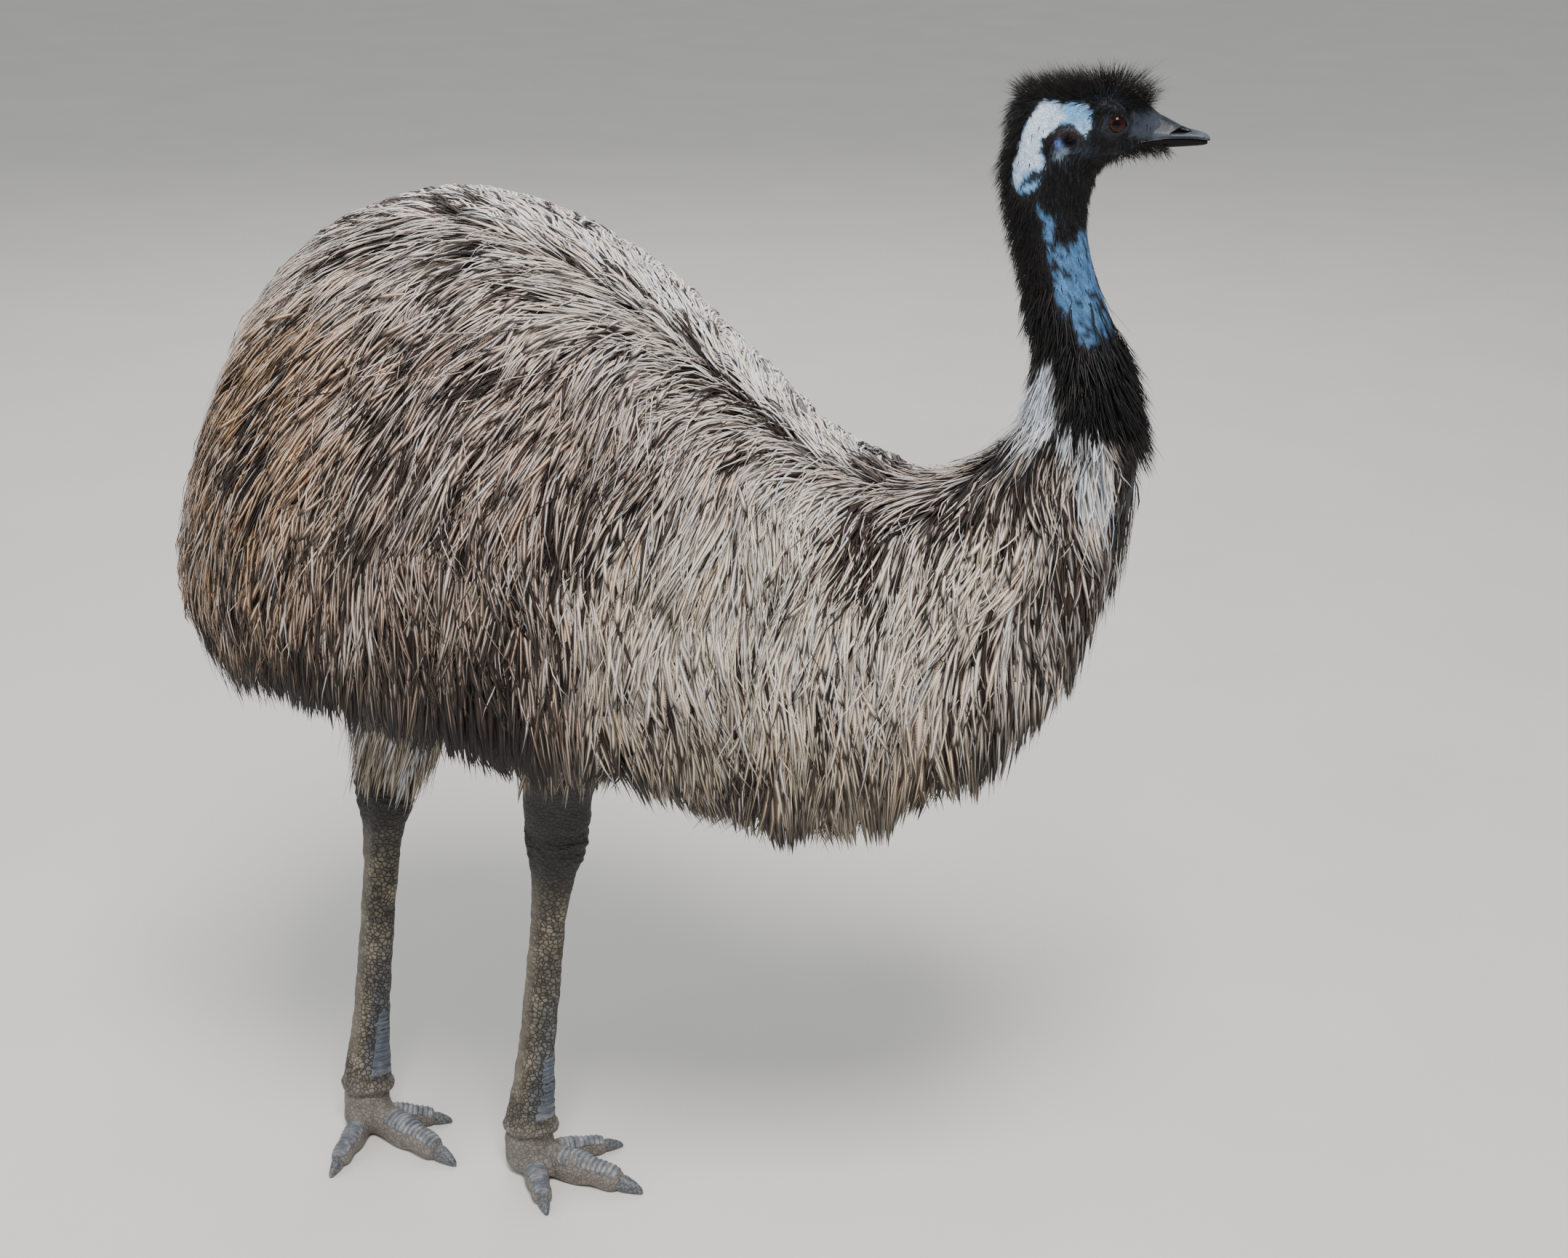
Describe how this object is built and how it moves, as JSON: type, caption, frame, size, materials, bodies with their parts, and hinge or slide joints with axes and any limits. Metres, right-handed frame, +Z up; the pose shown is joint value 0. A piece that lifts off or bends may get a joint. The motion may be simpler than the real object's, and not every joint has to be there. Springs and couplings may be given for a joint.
{
  "type": "emu",
  "caption": "Standing emu, life size: shaggy plumage parted along the back, upright neck, bare blue neck skin, broad bill and long scaled legs with forward toes.",
  "frame": {"origin": "middle of the foot of the bounding box, on the floor under the toes", "axes": "+X the way the bird faces, +Y its left side, +Z up"},
  "size_m": [1.0466, 0.5406, 1.3038],
  "materials": {
    "bill": "satin",
    "claw": "satin",
    "eye": "gloss",
    "head": "matte",
    "leg_skin": "matte",
    "neck_lower": "matte",
    "neck_upper": "matte",
    "plumage": "matte",
    "tail_plumage": "matte",
    "thigh": "matte"
  },
  "bodies": {
    "root": {"eye_left": "eye", "eye_right": "eye", "head": "head", "bill_upper": "bill", "bill_lower": "bill", "neck_upper": "neck_upper", "neck_lower": "neck_lower", "thigh_right": "thigh", "shank_right": "leg_skin", "foot_right": "leg_skin", "toe_inner_right": "leg_skin", "claw_inner_right": "claw", "toe_middle_right": "leg_skin", "claw_middle_right": "claw", "toe_outer_right": "leg_skin", "claw_outer_right": "claw", "thigh_left": "thigh", "shank_left": "leg_skin", "foot_left": "leg_skin", "toe_inner_left": "leg_skin", "claw_inner_left": "claw", "toe_middle_left": "leg_skin", "claw_middle_left": "claw", "toe_outer_left": "leg_skin", "claw_outer_left": "claw", "torso": "plumage", "breast": "plumage", "tail_plumage": "tail_plumage"}
  },
  "joints": []
}
